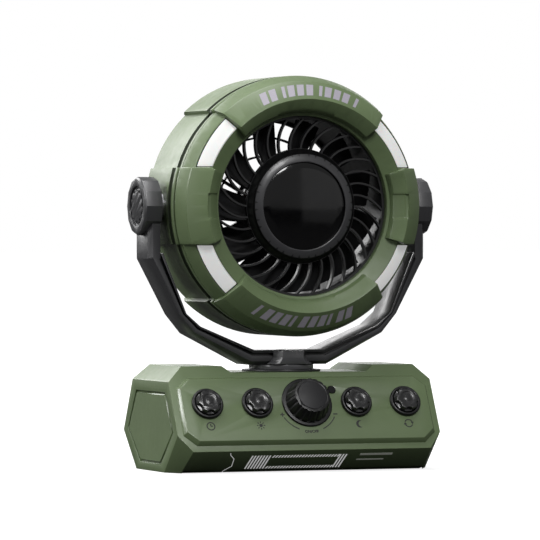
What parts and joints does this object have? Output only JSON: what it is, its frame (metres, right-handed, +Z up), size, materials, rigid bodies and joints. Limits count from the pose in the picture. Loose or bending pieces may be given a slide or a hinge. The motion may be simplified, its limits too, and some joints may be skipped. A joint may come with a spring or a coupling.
{
  "type": "portable camping fan",
  "caption": "Battery desk fan for camping: round head with light windows in a tilting yoke, on a faceted swivelling base with buttons, a knob and a loudspeaker.",
  "frame": {"origin": "middle of the flat underside of the base, on the swivel axis", "axes": "+Z up along the swivel axis, front of the fan faces -Y, +X to the viewer's right"},
  "size_m": [0.223, 0.1338, 0.2843],
  "materials": {
    "green_plastic": "satin moulded, fine grain",
    "black_plastic": "satin black",
    "dark_gloss": "semi-gloss charcoal",
    "gunmetal": "metallic grey gloss",
    "hub_gloss": "mirror gloss black",
    "diffuser_white": "milky translucent",
    "rubber_black": "matte",
    "steel": "plated",
    "copper_windings": "enamelled wire",
    "bearing_bronze": "sintered",
    "board_green": "solder mask",
    "cell_wrap": "shrink wrap",
    "gear_nylon": "moulded"
  },
  "bodies": {
    "root": {"base_housing": "green_plastic", "base_bottom_cover": "green_plastic", "rubber_feet": "rubber_black", "base_screws": "steel", "end_panels": "green_plastic", "control_plate": "green_plastic", "button_bezels": "black_plastic", "knob_bezel": "black_plastic", "encoder_body": "black_plastic", "control_board": "board_green", "tactile_switches": "steel", "indicator_lens": "hub_gloss", "speaker_grille": "black_plastic", "speaker_driver": "steel", "usb_c_socket": "steel", "main_board": "board_green", "battery_cells": "cell_wrap", "battery_holder": "black_plastic", "swivel_motor": "steel", "neck_flange": "black_plastic"},
    "encoder_rotor": {"encoder_rotor": "gear_nylon"},
    "knob": {"speed_knob": "black_plastic", "knob_cap": "gunmetal", "encoder_shaft": "steel"},
    "pinion": {"swivel_pinion": "gear_nylon"},
    "yoke": {"swivel_gear": "gear_nylon", "neck_spindle": "steel", "neck_column": "dark_gloss", "neck_bolt": "steel", "yoke_liner": "dark_gloss", "yoke_frame": "dark_gloss", "pivot_cap_left": "dark_gloss", "pivot_cap_right": "dark_gloss", "pivot_bushes": "black_plastic", "friction_washers": "black_plastic"},
    "head": {"pivot_shafts": "steel", "rear_shell": "green_plastic", "front_ring": "green_plastic", "top_cover": "green_plastic", "bottom_cover": "green_plastic", "side_block_left": "green_plastic", "side_block_right": "green_plastic", "light_diffusers": "diffuser_white", "led_boards": "board_green", "fan_duct": "black_plastic", "front_grille": "black_plastic", "hub_bezel": "dark_gloss", "hub_lens": "hub_gloss", "motor_stator": "copper_windings", "motor_base": "black_plastic", "motor_bearings": "bearing_bronze", "rear_grille": "black_plastic", "head_screws": "steel"},
    "rotor": {"fan_rotor": "black_plastic", "motor_can": "steel", "motor_shaft": "steel"},
    "button_timer": {"button_timer": "gunmetal"},
    "button_light": {"button_light": "gunmetal"},
    "button_night_light": {"button_night_light": "gunmetal"},
    "button_rotation": {"button_rotation": "gunmetal"}
  },
  "joints": [
    {"name": "timer_press", "type": "slide", "parent": "root", "child": "button_timer", "axis": [0, 0.8869, -0.462], "range_m": [0, 0.0008], "stiffness_N_per_m": 400, "springref_m": -0.001},
    {"name": "light_press", "type": "slide", "parent": "root", "child": "button_light", "axis": [0, 0.8869, -0.462], "range_m": [0, 0.0008], "stiffness_N_per_m": 400, "springref_m": -0.001},
    {"name": "night_light_press", "type": "slide", "parent": "root", "child": "button_night_light", "axis": [0, 0.8869, -0.462], "range_m": [0, 0.0008], "stiffness_N_per_m": 400, "springref_m": -0.001},
    {"name": "rotation_press", "type": "slide", "parent": "root", "child": "button_rotation", "axis": [0, 0.8869, -0.462], "range_m": [0, 0.0008], "stiffness_N_per_m": 400, "springref_m": -0.001},
    {"name": "knob_turn", "type": "hinge", "parent": "root", "child": "encoder_rotor", "pos_m": [0, -0.04819, 0.0475], "axis": [0, -0.8869, 0.462], "continuous": true},
    {"name": "knob_push", "type": "slide", "parent": "encoder_rotor", "child": "knob", "axis": [0, 0.8869, -0.462], "range_m": [0, 0.0005], "stiffness_N_per_m": 800, "springref_m": -0.001},
    {"name": "yoke_swivel", "type": "hinge", "parent": "root", "child": "yoke", "pos_m": [0, 0, 0.0707], "axis": [0, 0, 1], "range_deg": [-60, 60]},
    {"name": "pinion_spin", "type": "hinge", "parent": "root", "child": "pinion", "pos_m": [0, 0.024, 0.0605], "axis": [0, 0, 1], "range_deg": [-180, 180]},
    {"name": "head_tilt", "type": "hinge", "parent": "yoke", "child": "head", "pos_m": [0, 0, 0.1903], "axis": [1, 0, 0], "range_deg": [-90, 90]},
    {"name": "fan_spin", "type": "hinge", "parent": "head", "child": "rotor", "pos_m": [0, 0, 0.1903], "axis": [0, -1, 0], "continuous": true}
  ],
  "couplings": [
    {"joint": "pinion_spin", "follows": "yoke_swivel", "ratio": -3}
  ]
}
